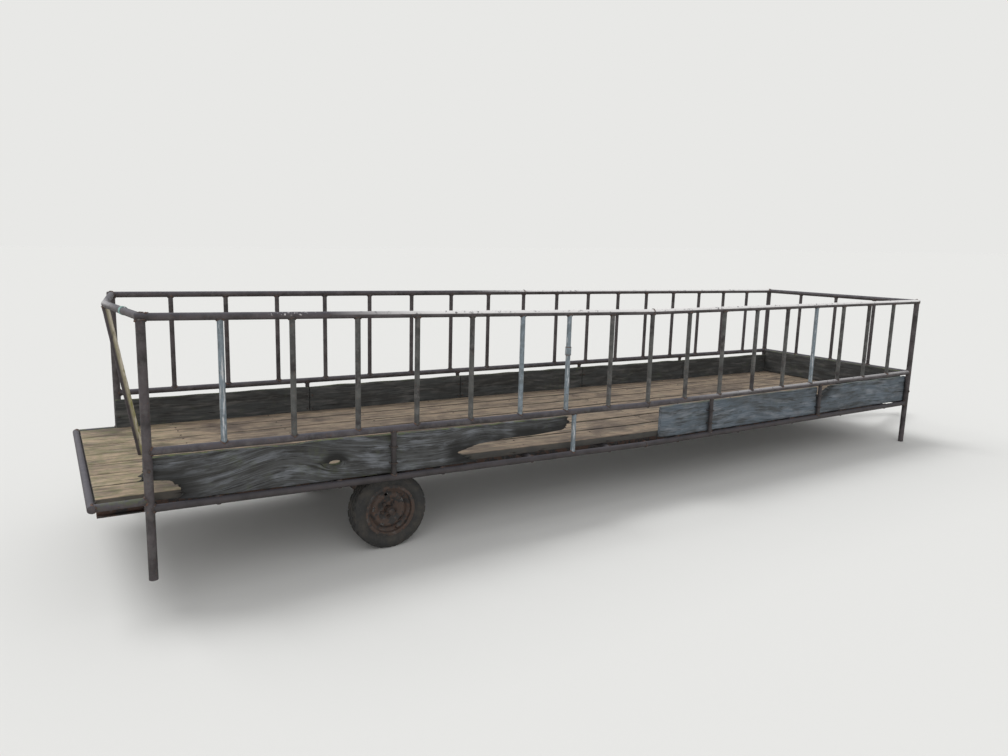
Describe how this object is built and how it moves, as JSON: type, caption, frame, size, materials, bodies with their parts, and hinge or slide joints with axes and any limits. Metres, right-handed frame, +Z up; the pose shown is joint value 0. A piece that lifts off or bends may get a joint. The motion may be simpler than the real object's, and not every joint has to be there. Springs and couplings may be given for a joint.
{
  "type": "feeder trailer",
  "caption": "Pipe-framed livestock feeder trailer with a plank floor, board sides, upright feed bars, one axle and a pin drawbar.",
  "frame": {"origin": "centre of the bounding box, on the ground that the wheels and front legs stand on", "axes": "+X forward to the hitch along the ground, +Y to the trailer's left side, +Z up"},
  "size_m": [8.4984, 1.8482, 1.6139],
  "materials": {
    "rusted_pipe": "rusted, worn bright along the top",
    "galvanised_pipe": "dull weathered zinc",
    "weathered_board": "grey, split, with green moss",
    "pale_board": "grey and dry",
    "floor_plank": "grey-tan, damp stained",
    "chassis_steel": "rust under old dark paint",
    "wheel_steel": "rust over old paint",
    "hub_iron": "rusty and greasy",
    "tyre": "dusty, cracked rubber"
  },
  "bodies": {
    "frame": {"axle_beam": "chassis_steel", "bar_sleeve": "galvanised_pipe", "cross_bearers": "rusted_pipe", "deck_end_rail": "rusted_pipe", "front_board": "weathered_board", "front_bottom_rail": "rusted_pipe", "front_feed_bars": "rusted_pipe", "front_floor_planks": "floor_plank", "front_left_post": "rusted_pipe", "front_mid_rail": "rusted_pipe", "front_right_post": "rusted_pipe", "front_top_rail": "rusted_pipe", "hitch_eye": "chassis_steel", "left_axle_perch": "chassis_steel", "left_boards": "weathered_board", "left_bottom_rail": "rusted_pipe", "left_chassis_beam": "chassis_steel", "left_deck_arm": "rusted_pipe", "left_draw_bar": "chassis_steel", "left_feed_bars": "rusted_pipe", "left_mid_rail": "rusted_pipe", "left_spindle": "hub_iron", "left_stub_posts": "rusted_pipe", "left_top_rail": "rusted_pipe", "rear_bottom_rail": "rusted_pipe", "rear_bowed_rail": "rusted_pipe", "rear_floor_planks": "floor_plank", "rear_leaning_post": "rusted_pipe", "rear_left_post": "rusted_pipe", "rear_right_post": "rusted_pipe", "right_axle_perch": "chassis_steel", "right_board_front": "pale_board", "right_board_rear": "weathered_board", "right_board_second": "weathered_board", "right_board_third": "pale_board", "right_bottom_rail": "rusted_pipe", "right_chassis_beam": "chassis_steel", "right_deck_arm": "rusted_pipe", "right_draw_bar": "chassis_steel", "right_feed_bars": "rusted_pipe", "right_mid_rail": "rusted_pipe", "right_patched_bars": "galvanised_pipe", "right_patched_stub": "galvanised_pipe", "right_spindle": "hub_iron", "right_stub_posts": "rusted_pipe", "right_top_rail": "rusted_pipe"},
    "left_wheel": {"left_hub": "hub_iron", "left_rim": "wheel_steel", "left_tyre": "tyre"},
    "right_wheel": {"right_hub": "hub_iron", "right_rim": "wheel_steel", "right_tyre": "tyre"}
  },
  "joints": [
    {"name": "right_wheel_spin", "type": "hinge", "parent": "frame", "child": "right_wheel", "pos_m": [-2.53298, -0.738, 0.254], "axis": [0, 1, 0], "continuous": true},
    {"name": "left_wheel_spin", "type": "hinge", "parent": "frame", "child": "left_wheel", "pos_m": [-2.53298, 0.738, 0.254], "axis": [0, 1, 0], "continuous": true}
  ]
}
